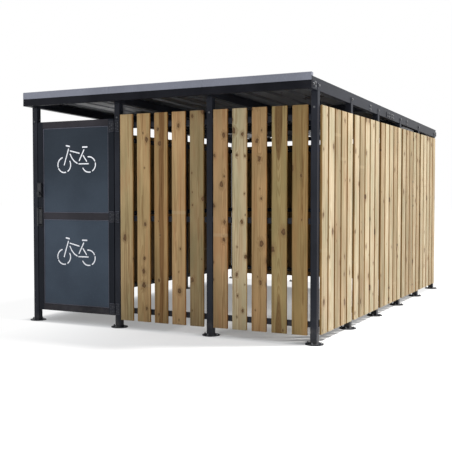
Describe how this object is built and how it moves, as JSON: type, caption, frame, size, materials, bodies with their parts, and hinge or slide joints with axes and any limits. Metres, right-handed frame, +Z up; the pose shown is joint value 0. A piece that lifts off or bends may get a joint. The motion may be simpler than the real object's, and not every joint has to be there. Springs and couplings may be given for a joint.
{
  "type": "bike shelter",
  "caption": "Free-standing bike shelter with a steel frame on round feet, spaced upright board walls, a ribbed roof falling to the rear and a hinged steel door.",
  "frame": {"origin": "on the ground, midway across the width and the depth of the overall box", "axes": "+X to the right along the front, +Y from the front to the rear, +Z up"},
  "size_m": [3.16, 4.8606, 2.2956],
  "materials": {
    "frame_steel": "fine-textured anthracite powder coat",
    "roof_steel": "satin coated ribbed sheet",
    "fascia_steel": "satin slate grey powder coat",
    "board_wood": "rough-sawn treated softwood with knots",
    "hinge_steel": "satin anthracite powder coat",
    "door_steel": "satin anthracite powder coat",
    "panel_steel": "satin blue-grey powder coat",
    "pull_metal": "satin black",
    "lock_metal": "satin black"
  },
  "bodies": {
    "shelter": {"front_post_1": "frame_steel", "front_post_2": "frame_steel", "front_post_3": "frame_steel", "front_post_4": "frame_steel", "left_posts": "frame_steel", "right_posts": "frame_steel", "rear_posts": "frame_steel", "foot_plates": "frame_steel", "beam_lugs": "frame_steel", "front_beam": "frame_steel", "rear_beam": "frame_steel", "left_beam": "frame_steel", "right_beam": "frame_steel", "rafters": "frame_steel", "purlins": "frame_steel", "roof_side_trims": "frame_steel", "front_rails": "frame_steel", "left_rails": "frame_steel", "right_rails": "frame_steel", "rear_rails": "frame_steel", "roof_sheets": "roof_steel", "front_fascia": "fascia_steel", "front_boards_2": "board_wood", "front_boards_3": "board_wood", "left_boards_1": "board_wood", "left_boards_2": "board_wood", "left_boards_3": "board_wood", "right_boards_1": "board_wood", "right_boards_2": "board_wood", "right_boards_3": "board_wood", "right_boards_4": "board_wood", "right_boards_5": "board_wood", "rear_boards_1": "board_wood", "rear_boards_2": "board_wood", "rear_boards_3": "board_wood", "post_hinges": "hinge_steel"},
    "door": {"door_frame": "door_steel", "door_panel_upper": "panel_steel", "door_panel_lower": "panel_steel", "door_hinges": "hinge_steel", "door_pull": "pull_metal", "door_lock": "lock_metal"}
  },
  "joints": [
    {"name": "door_swing", "type": "hinge", "parent": "shelter", "child": "door", "pos_m": [-0.534, -2.3003, 0.115], "axis": [0, 0, 1], "range_deg": [0, 110]}
  ]
}
